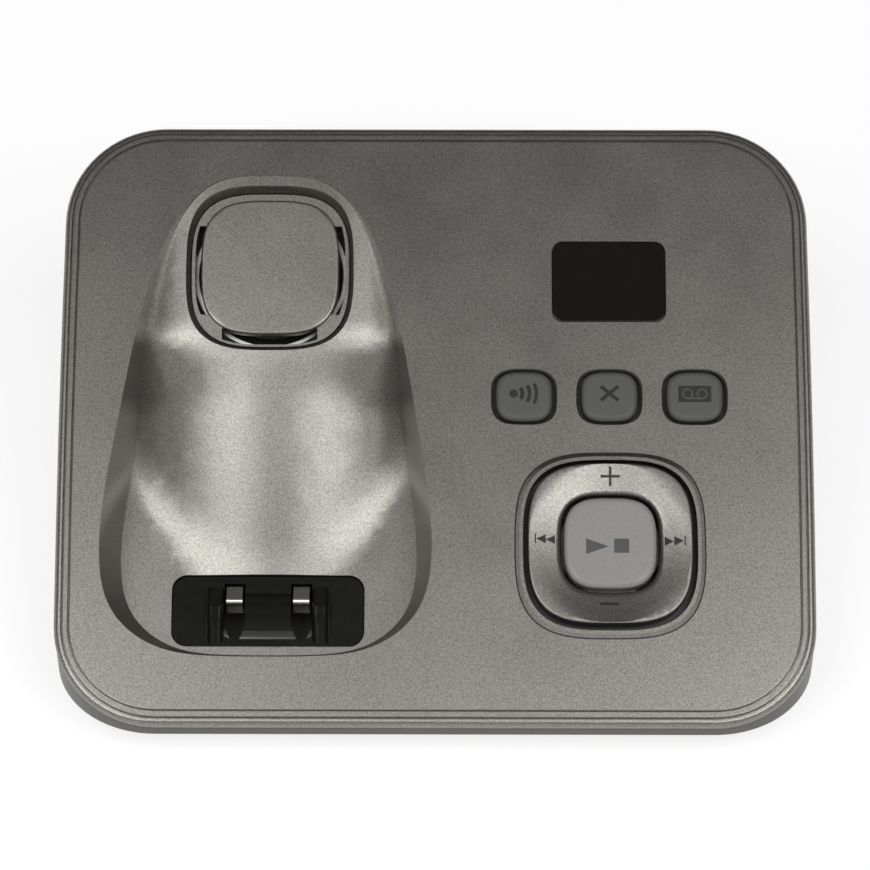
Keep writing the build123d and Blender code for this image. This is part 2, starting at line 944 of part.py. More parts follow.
def chip_set():
    return [block(x, main_y + y, main_top, a, b, chip_height) for x, y, a, b in chip_places]


def capacitor_set():
    made = []
    for x, y in capacitor_places:
        can = post(x, main_y + y, main_top, main_top + capacitor_height, capacitor_diameter)
        made.append(fillet(can.edges().sort_by(Axis.Z)[-1], 0.6))
    return made


def antenna(x):
    """Upright folded strip on the main board"""
    y = main_rear - antenna_wall
    strip = block(x, y, main_top + 1, antenna_length, antenna_wall, antenna_height - 1)
    foot = block(x - antenna_length / 2 + 1, y, main_top, 2, antenna_wall, 1)
    arm = block(x, y - 2, main_top + antenna_height - antenna_wall, antenna_length, 4, antenna_wall)
    return strip + foot + arm + Pos(antenna_length - 2, 0, 0) * foot


def control_connector():
    low = control_bottom - connector_height
    return block(ribbon_x, ribbon_v, low, connector_width, connector_depth, connector_height)


def main_connector():
    return block(ribbon_x, ribbon_y, main_top, connector_width, connector_depth, connector_height)


def ribbon_cable():
    """Flat cable between the two connectors"""
    start = at_face(0, ribbon_v, control_bottom - connector_height)
    first = at_face(0, ribbon_v, control_bottom - connector_height - 2 * ribbon_bend)
    end = (ribbon_y, main_top + connector_height)
    points = [(start.Y, start.Z), (first.Y, first.Z), (end[0], end[1] + 2 * ribbon_bend), end]
    path = FilletPolyline(*points, radius=ribbon_bend)
    strip = Plane.YZ.offset(ribbon_x - ribbon_width / 2) * trace(path, ribbon_wall)
    return extrude(strip, ribbon_width, dir=(1, 0, 0))


# Charging terminals
def terminal_places():
    return [Pos(cradle_x + side * terminal_pitch / 2, 0, 0) for side in (-1, 1)]


def boss_bar(width, rise):
    """Wedge-shaped bar across the holder, raised by a rise"""
    front = holder_front + holder_clearance + 0.6
    profile = Polyline(
        (front, boss_foot_w + rise),
        (boss_ridge_v, boss_ridge_w + rise),
        (boss_back_v, boss_foot_w + rise),
        (boss_back_v, holder_low()),
        (front, holder_low()),
        close=True,
    )
    sheet = Plane.YZ * make_face(profile)
    return Pos(-width / 2, 0, 0) * extrude(sheet, width, dir=(1, 0, 0))


def boss_rib():
    """Rounded rib beside a terminal slot"""
    bar = boss_bar(rib_width, rib_rise)
    flanks = bar.faces().filter_by(Axis.X)
    tops = [e for f in flanks for e in f.edges() if e.center().Z > boss_foot_w + rib_rise]
    return fillet(tops, rib_round)


def terminal_holder():
    low = holder_low()
    body = slab(holder_sketch(holder_clearance), low, low + holder_wall + holder_floor)
    wings = holder_width + 2 * holder_flange
    middle = (holder_front + holder_rear) / 2
    body += block(cradle_x, middle, low, wings, 8, holder_wall)
    body += Pos(cradle_x, 0, 0) * boss_bar(boss_width, 0)
    reach = terminal_pitch / 2 + terminal_slot / 2 + rib_width / 2
    body += [Pos(cradle_x + side * reach, 0, 0) * boss_rib() for side in (-1, 1)]
    slot = slab(terminal_slot_sketch(), low - 1, 0)
    return body - [place * slot for place in terminal_places()]


def terminal_slot_sketch():
    """Slot with its front corners tapered"""
    half = terminal_slot / 2
    narrow = half - slot_taper_width
    bend = terminal_slot_front + slot_taper_length
    right = [(half, terminal_slot_rear), (half, bend), (narrow, terminal_slot_front)]
    left = [(-u, v) for u, v in reversed(right)]
    return make_face(Polyline(*right, *left, close=True))


def contact_points():
    """Side view of a contact: tail, rise, bend and fold down into the slot"""
    rear = terminal_slot_rear - contact_wall - holder_clearance
    bend = boss_ridge_v + contact_back
    return [
        (rear, holder_low() - 1),
        (rear, boss_foot_w + 1),
        (bend, boss_ridge_w + contact_proud),
        (bend - contact_back, boss_foot_w - 1.2),
    ]


def charge_contact(place):
    path = FilletPolyline(*contact_points(), radius=contact_bend)
    strip = Plane.YZ * trace(path, contact_wall)
    return place * Pos(-contact_width / 2, 0, 0) * extrude(strip, contact_width, dir=(1, 0, 0))


def charge_leads():
    """Two leads from the contacts' tails to the main board"""
    made = []
    tail = contact_points()[0]
    start = at_face(0, tail[0], tail[1] - wire_diameter)
    low = floor_top + wire_diameter
    for side in (-1, 1):
        x = cradle_x + side * terminal_pitch / 2
        end = main_y - main_depth / 2 + 4
        points = [(x, start.Y, start.Z), (x, start.Y + 8, low), (x, end, low), (x, end, main_bottom)]
        made.append(wire(points, 2 * wire_diameter))
    return made


def speaker_leads():
    """Two leads from the speaker frame down to the main board"""
    made = []
    reach = gasket_bore / 2 + wire_diameter
    sink = wire_diameter / 2 * sin(radians(face_tilt + speaker_lean)) + 0.02
    for side in (-1, 1):
        spot = speaker_place(frame_top() - frame_wall - sink) * Pos(reach, side * lead_gap, 0)
        x, y, z = at_face(*spot.position)
        points = [(x, y, z), (x, y, z - 8), (x + lead_shift, y, z - 16), (x + lead_shift, y, main_top)]
        made.append(wire(points, wire_bend))
    return made


# Jacks
def dc_jack():
    """Barrel socket with its centre pin"""
    middle = main_top + dc_height / 2
    y = rear_out - jack_recess
    body = Pos(dc_x, y - dc_length / 2, middle) * Box(dc_width, dc_length, dc_height)
    into = Plane((dc_x, y, middle), x_dir=(1, 0, 0), z_dir=(0, -1, 0))
    body -= extrude(into * Circle(dc_bore / 2), dc_bore_depth)
    return body + extrude(into.offset(1) * Circle(dc_pin / 2), dc_bore_depth)


def line_jack():
    """Modular socket with its latch notch"""
    middle = main_top + line_height / 2
    y = rear_out - jack_recess
    body = Pos(line_x, y - line_length / 2, middle) * Box(line_width, line_length, line_height)
    into = Plane((line_x, y, middle), x_dir=(1, 0, 0), z_dir=(0, -1, 0))
    body -= extrude(into * Rectangle(socket_width, socket_height), socket_depth)
    notch = Pos(0, -socket_height / 2 - 0.6) * Rectangle(socket_width / 2, 1.4)
    return body - extrude(into * notch, socket_depth)


def line_jack_pins():
    """Four sprung wires sloping down into the socket"""
    made = []
    top = main_top + line_height / 2 + socket_height / 2
    back = Plane.XZ.offset(-(rear_out - jack_recess - socket_depth))
    for i in range(4):
        x = line_x + (i - 1.5) * line_pin_pitch
        pin = back * Pos(x, top - 1.2) * Circle(line_pin / 2)
        made.append(extrude(pin, socket_depth - 3, dir=(0, 1, -0.12)))
    return made


# Feet and case screws
def rubber_feet():
    foot = post(0, 0, 0, foot_height + foot_sink, foot_diameter)
    foot = fillet(foot.edges().sort_by(Axis.Z)[0], 0.4)
    return [spot * foot for spot in foot_spots()]


def case_screws():
    made = []
    pilot = screw_diameter - 2 * screw_clearance
    for x, y, seat in case_spots():
        ledge = seat - screw_head_wall
        screw = round_head(screw_head, screw_head_wall)
        screw += post(0, 0, 0, screw_head_wall + screw_bite - 1, pilot)
        made.append(Pos(x, y, ledge) * screw)
    return made


def gather(solids):
    return Compound(children=list(solids)) if isinstance(solids, list) else solids


def assembly():
    """Every node by name, in the part's own frame"""
    left, right = terminal_places()
    faced = {
        "speaker_cover": speaker_cover(),
        "speaker_gasket": speaker_gasket(),
        "speaker_frame": speaker_frame(),
        "speaker_cone": speaker_cone(),
        "speaker_magnet": speaker_magnet(),
        "speaker_screws": small_screws(speaker_screw_spots(), frame_top() - frame_wall, small_bite - 1),
        "display_window": display_window(),
        "display_module": display_module(),
        "key_mat": key_mat(),
        "nav_ring": nav_ring(),
        "nav_collar": nav_collar(),
        "play_button": play_button(),
        "key_switches": key_switches(),
        "message_led": message_led(),
        "control_board": control_board(),
        "control_board_screws": control_board_screws(),
        "control_connector": control_connector(),
        "terminal_holder": terminal_holder(),
        "charge_contact_left": charge_contact(left),
        "charge_contact_right": charge_contact(right),
    }
    faced.update({name: key(index) for name, index in keys.items()})
    nodes = {name: on_face(gather(shape)) for name, shape in faced.items()}
    upright = {
        "top_cover": top_cover(),
        "base_cover": base_cover(),
        "main_board": main_board(),
        "main_board_screws": main_board_screws(),
        "shield_can": shield_can(),
        "chip_set": chip_set(),
        "capacitor_set": capacitor_set(),
        "antenna_left": antenna(antenna_left_x),
        "antenna_right": antenna(antenna_right_x),
        "main_connector": main_connector(),
        "ribbon_cable": ribbon_cable(),
        "charge_leads": charge_leads(),
        "speaker_leads": speaker_leads(),
        "dc_jack": dc_jack(),
        "line_jack": line_jack(),
        "line_jack_pins": line_jack_pins(),
        "rubber_feet": rubber_feet(),
        "case_screws": case_screws(),
    }
    nodes.update({name: gather(shape) for name, shape in upright.items()})
    return nodes


for name, shape in assembly().items():
    export_step(shape, f"parts/{name}.step")
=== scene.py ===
from collections import namedtuple
from math import cos, pi, radians, sin

import bmesh
import bpy
from mathutils import Matrix, Vector


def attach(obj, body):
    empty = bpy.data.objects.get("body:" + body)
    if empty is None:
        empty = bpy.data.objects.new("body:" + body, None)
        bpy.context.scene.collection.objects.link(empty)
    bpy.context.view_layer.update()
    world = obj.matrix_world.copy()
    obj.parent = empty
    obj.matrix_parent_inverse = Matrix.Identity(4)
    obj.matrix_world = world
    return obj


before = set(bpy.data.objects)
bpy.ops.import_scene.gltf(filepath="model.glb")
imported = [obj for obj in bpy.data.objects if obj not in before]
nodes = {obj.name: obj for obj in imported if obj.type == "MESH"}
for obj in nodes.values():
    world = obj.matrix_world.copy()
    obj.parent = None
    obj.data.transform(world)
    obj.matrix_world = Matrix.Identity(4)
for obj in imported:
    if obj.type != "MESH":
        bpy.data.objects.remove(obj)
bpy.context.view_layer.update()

MM = 0.001

# The tilted face, in millimetres: u to the right, v up the slope, w out of the face
FACE_TILT = radians(25.0)
FACE_LENGTH = 119.0
FRONT_HEIGHT = 11.0
RIM_HEIGHT = 3.0
FACE_NORMAL = Vector((0.0, -sin(FACE_TILT), cos(FACE_TILT)))
FACE_SLOPE = Vector((0.0, cos(FACE_TILT), sin(FACE_TILT)))
FACE_ORIGIN = Vector((
    0.0,
    -RIM_HEIGHT * sin(FACE_TILT),
    FRONT_HEIGHT + FACE_LENGTH / 2 * sin(FACE_TILT) + RIM_HEIGHT * cos(FACE_TILT),
))

# Places of the keys and the ring on the face
KEY_V = 5.0
LOCATOR_U = 14.99
ERASE_U = 33.39
ANSWER_U = 49.77
RING_U = 33.3
RING_V = -24.3
RING_HOLE_V = -24.7


def on_face(u, v, w):
    """Place in metres of a point given in millimetres on the face"""
    across = Vector((u, 0.0, 0.0))
    return (FACE_ORIGIN + across + FACE_SLOPE * v + FACE_NORMAL * w) * MM


# Finishes
NOISE_LOW = 0.3
NOISE_HIGH = 0.7
BROAD_GRAIN = 40
STEEP_WALL = 0.5
PAINT_GREY = (0.248, 0.240, 0.220)
# Near black of the painted shade in holes and grooves, in part bare moulding
HOLE_SHADE_BLACK = (0.008, 0.008, 0.008)


def new_finish(name, colour, metallic, roughness):
    """A finish whose even values sit on the shader's own sockets"""
    finish = bpy.data.materials.new(name)
    finish.use_nodes = True
    shader = shader_of(finish)
    shader.inputs["Base Color"].default_value = (*colour, 1.0)
    shader.inputs["Metallic"].default_value = metallic
    shader.inputs["Roughness"].default_value = roughness
    return finish


def shader_of(finish):
    return finish.node_tree.nodes["Principled BSDF"]


def add(finish, kind, **settings):
    """A node with its settings and its unlinked values"""
    node = finish.node_tree.nodes.new(kind)
    for name, value in settings.items():
        if name in node.inputs:
            node.inputs[name].default_value = value
        else:
            setattr(node, name, value)
    return node


def join(finish, source, target):
    finish.node_tree.links.new(source, target)


def grain(finish, size_mm):
    """Noise of one grain size on the piece's own place"""
    place = add(finish, "ShaderNodeTexCoord")
    noise = add(finish, "ShaderNodeTexNoise", Scale=1.0 / (size_mm * MM), Detail=2.0)
    join(finish, place.outputs["Object"], noise.inputs["Vector"])
    return noise.outputs["Fac"]


def ramp(finish, factor, low, high):
    """Stretch a noise value to a range"""
    node = add(finish, "ShaderNodeMapRange")
    node.inputs["From Min"].default_value = NOISE_LOW
    node.inputs["From Max"].default_value = NOISE_HIGH
    node.inputs["To Min"].default_value = low
    node.inputs["To Max"].default_value = high
    join(finish, factor, node.inputs["Value"])
    return node.outputs["Result"]


def tint(finish, factor, dark, light, under=None):
    """Colour that wanders between two tones, the first one from another node if given"""
    node = add(finish, "ShaderNodeMix", data_type="RGBA")
    tones = [socket for socket in node.inputs if socket.type == "RGBA"]
    tones[0].default_value = (*dark, 1.0)
    tones[1].default_value = (*light, 1.0)
    if under:
        join(finish, under, tones[0])
    join(finish, factor, node.inputs["Factor"])
    mixed = [socket for socket in node.outputs if socket.type == "RGBA"]
    join(finish, mixed[0], shader_of(finish).inputs["Base Color"])


def rough(finish, factor, low, high):
    join(finish, ramp(finish, factor, low, high), shader_of(finish).inputs["Roughness"])


def relief(finish, factor, height_mm):
    node = add(finish, "ShaderNodeBump", Strength=1.0, Distance=height_mm * MM)
    join(finish, factor, node.inputs["Height"])
    join(finish, node.outputs["Normal"], shader_of(finish).inputs["Normal"])


def scaled(colour, amount):
    return tuple(channel * amount for channel in colour)


def grained(name, colour, metallic, low, high, size_mm, height_mm, spread=0.1):
    """A finish with a fine grain in its tone and its surface, and roughness that wanders from low to high"""
    finish = new_finish(name, colour, metallic, (low + high) / 2)
    fine = grain(finish, size_mm)
    broad = grain(finish, size_mm * BROAD_GRAIN)
    tone = ramp(finish, fine, 0.0, 1.0)
    tint(finish, tone, scaled(colour, 1 - spread), scaled(colour, 1 + spread))
    rough(finish, broad, low, high)
    relief(finish, fine, height_mm)
    return finish


def grey_paint(name):
    """The satin grey of the cover, the speaker cover and the ring"""
    return grained(name, PAINT_GREY, 0.9, 0.30, 0.34, 0.34, 0.006, 0.28)


def reckon(finish, operation, *values):
    """One step of arithmetic on plain values and on the results of other nodes"""
    node = add(finish, "ShaderNodeMath", operation=operation)
    for socket, value in zip(node.inputs, values):
        if isinstance(value, float):
            socket.default_value = value
        else:
            join(finish, value, socket)
    return node.outputs["Value"]


def along(finish, source, way):
    """Length of a place or a normal along one direction"""
    node = add(finish, "ShaderNodeVectorMath", operation="DOT_PRODUCT")
    join(finish, source, node.inputs[0])
    node.inputs[1].default_value = way
    return node.outputs["Value"]


HoleZone = namedtuple("HoleZone", "u v reach_u reach_v flat_w steep_w")


def shade_in_holes(finish, zones):
    """Painted shade inside the holes and grooves, in part bare black moulding: in each zone of the face,
    flat places below one depth and steep walls below another turn near black and lose their metal"""
    shader = shader_of(finish)
    place = add(finish, "ShaderNodeTexCoord").outputs["Object"]
    normal = add(finish, "ShaderNodeNewGeometry").outputs["Normal"]
    across = along(finish, place, (1.0, 0.0, 0.0))
    length = along(finish, place, FACE_SLOPE)
    height = along(finish, place, FACE_NORMAL)
    steep = reckon(finish, "LESS_THAN", along(finish, normal, FACE_NORMAL), STEEP_WALL)
    # Mask of painted shade in the recesses of each zone, 1 where the surface turns near black
    hole_shade = 0.0
    for zone in zones:
        middle_v = on_face(0, zone.v, 0).dot(FACE_SLOPE)
        in_u = reckon(finish, "COMPARE", across, zone.u * MM, zone.reach_u * MM)
        in_v = reckon(finish, "COMPARE", length, middle_v, zone.reach_v * MM)
        inside = reckon(finish, "MULTIPLY", in_u, in_v)
        flat = reckon(finish, "LESS_THAN", height, on_face(0, 0, zone.flat_w).dot(FACE_NORMAL))
        wall = reckon(finish, "LESS_THAN", height, on_face(0, 0, zone.steep_w).dot(FACE_NORMAL))
        wall = reckon(finish, "MULTIPLY", wall, steep)
        here = reckon(finish, "MULTIPLY", inside, reckon(finish, "MAXIMUM", flat, wall))
        hole_shade = reckon(finish, "MAXIMUM", here, hole_shade)
    painted = shader.inputs["Base Color"].links[0].from_socket
    tint(finish, hole_shade, (0.0, 0.0, 0.0), HOLE_SHADE_BLACK, painted)
    metal = shader.inputs["Metallic"].default_value
    join(finish, reckon(finish, "MULTIPLY_ADD", hole_shade, -metal, metal), shader.inputs["Metallic"])


# Colour, metal, roughness from low to high, grain size and height in millimetres, spread of the tone
finishes = {
    "case": grey_paint("satin_grey_paint"),
    "case_lower": grained("grey_lower_casing", (0.145, 0.142, 0.126), 0.6, 0.42, 0.48, 0.35, 0.006),
    "foam": grained("black_foam", (0.03, 0.03, 0.03), 0.0, 0.9, 1.0, 0.5, 0.15, 0.4),
    "steel": grained("zinc_plated_steel", (0.62, 0.62, 0.60), 1.0, 0.28, 0.42, 0.6, 0.004),
    "cone": grained("pressed_paper_cone", (0.05, 0.05, 0.048), 0.0, 0.8, 0.95, 0.4, 0.04, 0.3),
    "magnet": grained("dark_ferrite", (0.06, 0.06, 0.062), 0.2, 0.5, 0.7, 0.5, 0.02, 0.25),
    "window": grained("smoked_window", (0.0115, 0.0085, 0.0070), 0.0, 0.07, 0.11, 2.0, 0.0003),
    "display_block": grained("display_block_black", (0.02, 0.02, 0.02), 0.0, 0.5, 0.6, 0.5, 0.005),
    "key_rubber": grained("soft_key_grey", (0.105, 0.107, 0.101), 0.0, 0.42, 0.52, 0.25, 0.002, 0.06),
    "play_cap": grained("frosted_play_cap", (0.36, 0.345, 0.33), 0.0, 0.30, 0.38, 0.25, 0.003),
    "black_plastic": grained("black_moulding", (0.018, 0.018, 0.018), 0.0, 0.4, 0.55, 0.4, 0.006, 0.2),
    "led": grained("clear_lamp", (0.55, 0.16, 0.12), 0.0, 0.15, 0.25, 0.4, 0.002),
    "board": grained("green_board", (0.02, 0.10, 0.045), 0.0, 0.3, 0.45, 0.8, 0.01, 0.3),
    "connector": grained("ivory_connector", (0.62, 0.58, 0.47), 0.0, 0.4, 0.5, 0.5, 0.004),
    "capacitor": grained("capacitor_sleeve", (0.02, 0.022, 0.03), 0.0, 0.25, 0.35, 0.5, 0.003),
    "tinned": grained("tinned_strip", (0.68, 0.67, 0.64), 1.0, 0.25, 0.4, 0.5, 0.004),
    "ribbon": grained("grey_ribbon", (0.36, 0.36, 0.36), 0.0, 0.45, 0.6, 0.4, 0.01),
    "gloss_black": grained("gloss_black_moulding", (0.012, 0.012, 0.011), 0.0, 0.10, 0.16, 1.5, 0.0006, 0.2),
    "contact": grained("plated_contact", (0.78, 0.75, 0.68), 1.0, 0.20, 0.30, 0.4, 0.002),
    "lead": grained("lead_sleeve", (0.35, 0.03, 0.03), 0.0, 0.4, 0.5, 0.4, 0.004),
    "foot_rubber": grained("foot_rubber", (0.025, 0.025, 0.025), 0.0, 0.75, 0.9, 0.4, 0.02, 0.25),
}
ink_dark = grained("dark_grey_print", (0.014, 0.014, 0.013), 0.0, 0.5, 0.6, 0.2, 0.001)
ink_play = grained("grey_print_under_cap", (0.090, 0.098, 0.098), 0.0, 0.30, 0.36, 0.2, 0.001)

# Painted shade: the cover turns near black deep inside the holes of the window, the keys and the ring, and
# the ring deep inside its own, in part standing for bare moulding
cover_paint = grey_paint("satin_grey_cover")
shade_in_holes(cover_paint, [
    HoleZone(u=34.5, v=16.0, reach_u=26.5, reach_v=18.0, flat_w=-1.4, steep_w=-0.9),
    HoleZone(u=RING_U, v=RING_HOLE_V, reach_u=19.5, reach_v=19.5, flat_w=-0.2, steep_w=-0.05),
])
ring_paint = grey_paint("satin_grey_ring")
shade_in_holes(ring_paint, [
    HoleZone(u=RING_U, v=RING_V, reach_u=22.0, reach_v=22.0, flat_w=-1.4, steep_w=-0.3),
])


# Smooth shading on the carried nodes
CRISP_ANGLE = radians(28)
WELD_GAP_MM = 0.002
EVEN_WEIGHT = 60


def crisp_edges_tree():
    """Smooth faces, with the edges sharper than an angle kept crisp"""
    tree = bpy.data.node_groups.new("crisp_edges", "GeometryNodeTree")
    face = tree.interface
    face.new_socket(name="Geometry", in_out="INPUT", socket_type="NodeSocketGeometry")
    angle = face.new_socket(name="Angle", in_out="INPUT", socket_type="NodeSocketFloat")
    face.new_socket(name="Geometry", in_out="OUTPUT", socket_type="NodeSocketGeometry")
    make = tree.nodes.new
    link = tree.links.new
    start = make("NodeGroupInput")
    end = make("NodeGroupOutput")
    smooth = make("GeometryNodeSetShadeSmooth")
    sharp = make("GeometryNodeSetShadeSmooth")
    sharp.domain = "EDGE"
    sharp.inputs["Shade Smooth"].default_value = False
    bend = make("GeometryNodeInputMeshEdgeAngle")
    over = make("FunctionNodeCompare")
    over.data_type = "FLOAT"
    over.operation = "GREATER_THAN"
    link(start.outputs["Geometry"], smooth.inputs["Geometry"])
    link(bend.outputs["Unsigned Angle"], over.inputs["A"])
    link(start.outputs["Angle"], over.inputs["B"])
    link(smooth.outputs["Geometry"], sharp.inputs["Geometry"])
    link(over.outputs["Result"], sharp.inputs["Selection"])
    link(sharp.outputs["Geometry"], end.inputs["Geometry"])
    return tree, angle.identifier


crisp_edges, crisp_input = crisp_edges_tree()


def dress(node, finish):
    """Finish and smooth shading on a carried node"""
    node.data.materials.clear()
    node.data.materials.append(finish)
    weld = node.modifiers.new("weld", "WELD")
    weld.merge_threshold = WELD_GAP_MM * MM
    crisp = node.modifiers.new("crisp", "NODES")
    crisp.node_group = crisp_edges
    crisp[crisp_input] = CRISP_ANGLE
    even = node.modifiers.new("even", "WEIGHTED_NORMAL")
    even.keep_sharp = True
    even.weight = EVEN_WEIGHT


worn_by = {
    "case": ("top_cover", "speaker_cover", "nav_ring"),
    "case_lower": ("base_cover",),
    "foam": ("speaker_gasket",),
    "steel": (
        "speaker_frame", "speaker_screws", "control_board_screws",
        "main_board_screws", "shield_can", "case_screws",
    ),
    "cone": ("speaker_cone",),
    "magnet": ("speaker_magnet",),
    "window": ("display_window",),
    "display_block": ("display_module",),
    "key_rubber": ("locator_key", "erase_key", "answer_key", "key_mat", "nav_collar"),
    "play_cap": ("play_button",),
    "black_plastic": ("key_switches", "chip_set", "dc_jack", "line_jack"),
    "led": ("message_led",),
    "board": ("control_board", "main_board"),
    "connector": ("control_connector", "main_connector"),
    "capacitor": ("capacitor_set",),
    "tinned": ("antenna_left", "antenna_right"),
    "ribbon": ("ribbon_cable",),
    "gloss_black": ("terminal_holder",),
    "contact": ("charge_contact_left", "charge_contact_right", "line_jack_pins"),
    "lead": ("charge_leads", "speaker_leads"),
    "foot_rubber": ("rubber_feet",),
}
own_finish = {"top_cover": cover_paint, "nav_ring": ring_paint}
for slot, names in worn_by.items():
    for name in names:
        dress(nodes[name], own_finish.get(name, finishes[slot]))


# Printed marks, laid on the keys, the ring and the play button, with lengths in millimetres
SHEET_HEIGHT = 6.0
PRESS_REACH = 20.0
PRINT_THICKNESS = 0.02
KEY_PRINT_LIFT = 0.03
RING_PRINT_LIFT = 0.04
OVER_PRINT_LIFT = 0.06
OUTLINE_GAP = 0.0005
PRINT_GAP = 0.001


def print_tree():
    """Lay flat outlines on a surface and give them a print's thickness"""
    tree = bpy.data.node_groups.new("laid_print", "GeometryNodeTree")
    face = tree.interface
    face.new_socket(name="Geometry", in_out="INPUT", socket_type="NodeSocketGeometry")
    kinds = {"Surface": "Object", "Press": "Vector", "Lift": "Float", "Thickness": "Float", "Ink": "Material"}
    inputs = {}
    for name, kind in kinds.items():
        socket = face.new_socket(name=name, in_out="INPUT", socket_type="NodeSocket" + kind)
        inputs[name] = socket.identifier
    face.new_socket(name="Geometry", in_out="OUTPUT", socket_type="NodeSocketGeometry")
    make = tree.nodes.new
    link = tree.links.new
    start = make("NodeGroupInput")
    end = make("NodeGroupOutput")
    surface = make("GeometryNodeObjectInfo")
    ray = make("GeometryNodeRaycast")
    ray.inputs["Ray Length"].default_value = PRESS_REACH * MM
    link(start.outputs["Surface"], surface.inputs["Object"])
    link(surface.outputs["Geometry"], ray.inputs["Target Geometry"])
    link(start.outputs["Press"], ray.inputs["Ray Direction"])
    away = make("ShaderNodeVectorMath")
    away.operation = "SCALE"
    away.inputs["Scale"].default_value = -1.0
    link(start.outputs["Press"], away.inputs[0])
    lift = make("ShaderNodeVectorMath")
    lift.operation = "SCALE"
    link(away.outputs["Vector"], lift.inputs[0])
    link(start.outputs["Lift"], lift.inputs["Scale"])
    lay = make("GeometryNodeSetPosition")
    link(start.outputs["Geometry"], lay.inputs["Geometry"])
    link(ray.outputs["Is Hit"], lay.inputs["Selection"])
    link(ray.outputs["Hit Position"], lay.inputs["Position"])
    link(lift.outputs["Vector"], lay.inputs["Offset"])
    thick = make("GeometryNodeExtrudeMesh")
    thick.inputs["Individual"].default_value = False
    link(lay.outputs["Geometry"], thick.inputs["Mesh"])
    link(away.outputs["Vector"], thick.inputs["Offset"])
    link(start.outputs["Thickness"], thick.inputs["Offset Scale"])
    under = make("GeometryNodeFlipFaces")
    link(lay.outputs["Geometry"], under.inputs["Mesh"])
    both = make("GeometryNodeJoinGeometry")
    link(thick.outputs["Mesh"], both.inputs["Geometry"])
    link(under.outputs["Mesh"], both.inputs["Geometry"])
    close = make("GeometryNodeMergeByDistance")
    close.inputs["Distance"].default_value = PRINT_GAP * MM
    link(both.outputs["Geometry"], close.inputs["Geometry"])
    real = make("GeometryNodeRealizeInstances")
    link(close.outputs["Geometry"], real.inputs["Geometry"])
    ink = make("GeometryNodeSetMaterial")
    link(real.outputs["Geometry"], ink.inputs["Geometry"])
    link(start.outputs["Ink"], ink.inputs["Material"])
    link(ink.outputs["Geometry"], end.inputs["Geometry"])
    return tree, inputs


laid_print, print_inputs = print_tree()


def bar(u, v, length, width):
    a, b = length / 2, width / 2
    return [(u - a, v - b), (u + a, v - b), (u + a, v + b), (u - a, v + b)]


def wedge(base_u, tip_u, v, height):
    """Triangle that points along u"""
    points = [(base_u, v - height / 2), (tip_u, v), (base_u, v + height / 2)]
    return points if tip_u > base_u else points[::-1]


def cross(u, v, reach, width, angle, turn):
    """Two crossed bars as one outline"""
    h = width / 2
    points = []
    for quarter in range(4):
        way = (angle, pi - angle, pi + angle, -angle)[quarter]
        inner = (h / sin(angle), h / cos(angle))[quarter % 2]
        corner = quarter * pi / 2
        points.append((inner * cos(corner), inner * sin(corner)))
        points.append((reach * cos(way) + h * sin(way), reach * sin(way) - h * cos(way)))
        points.append((reach * cos(way) - h * sin(way), reach * sin(way) + h * cos(way)))
    c, s = cos(turn), sin(turn)
    return [(u + x * c - y * s, v + x * s + y * c) for x, y in points]


def arc(u, v, inner, outer, half_angle, steps=12):
    """Bar bent round a centre, on its right side"""
    turns = [half_angle * (2 * i / steps - 1) for i in range(steps + 1)]
    out = [(u + outer * cos(t), v + outer * sin(t)) for t in turns]
    back = [(u + inner * cos(t), v + inner * sin(t)) for t in reversed(turns)]
    return out + back


def disc(u, v, radius, steps=28):
    turns = [2 * pi * i / steps for i in range(steps)]
    return [(u + radius * cos(t), v + radius * sin(t)) for t in turns]


def plate(u, v, width, height, radius, steps=5):
    """Rectangle with rounded corners"""
    points = []
    for quarter, (sx, sy) in enumerate(((1, 1), (-1, 1), (-1, -1), (1, -1))):
        cu, cv = u + sx * (width / 2 - radius), v + sy * (height / 2 - radius)
        for i in range(steps + 1):
            t = (quarter + i / steps) * pi / 2
            points.append((cu + radius * cos(t), cv + radius * sin(t)))
    return points


def hoop(u, v, inner, outer, steps=28):
    """Closed band as a row of four-sided outlines"""
    made = []
    for i in range(steps):
        a, b = 2 * pi * i / steps, 2 * pi * (i + 1) / steps
        corners = ((inner, a), (outer, a), (outer, b), (inner, b))
        made.append([(u + r * cos(t), v + r * sin(t)) for r, t in corners])
    return made


def settle(piece):
    """Turn a piece's node tree into a plain mesh"""
    graph = bpy.context.evaluated_depsgraph_get()
    made = bpy.data.meshes.new_from_object(piece.evaluated_get(graph))
    piece.modifiers.clear()
    piece.data = made


def printed(name, outlines, node, body, ink, lift_mm=KEY_PRINT_LIFT):
    """A printed mark that lies on a carried node and moves with its body"""
    sheet = bmesh.new()
    for outline in outlines:
        sheet.faces.new([sheet.verts.new(on_face(u, v, SHEET_HEIGHT)) for u, v in outline])
    bmesh.ops.remove_doubles(sheet, verts=sheet.verts, dist=OUTLINE_GAP * MM)
    mesh = bpy.data.meshes.new(name)
    sheet.to_mesh(mesh)
    sheet.free()
    mark = bpy.data.objects.new(name, mesh)
    bpy.context.scene.collection.objects.link(mark)
    lay = mark.modifiers.new("laid_print", "NODES")
    lay.node_group = laid_print
    lay[print_inputs["Surface"]] = nodes[node]
    lay[print_inputs["Press"]] = -FACE_NORMAL
    lay[print_inputs["Lift"]] = lift_mm * MM
    lay[print_inputs["Thickness"]] = PRINT_THICKNESS * MM
    lay[print_inputs["Ink"]] = ink
    settle(mark)
    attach(mark, body)
    return mark


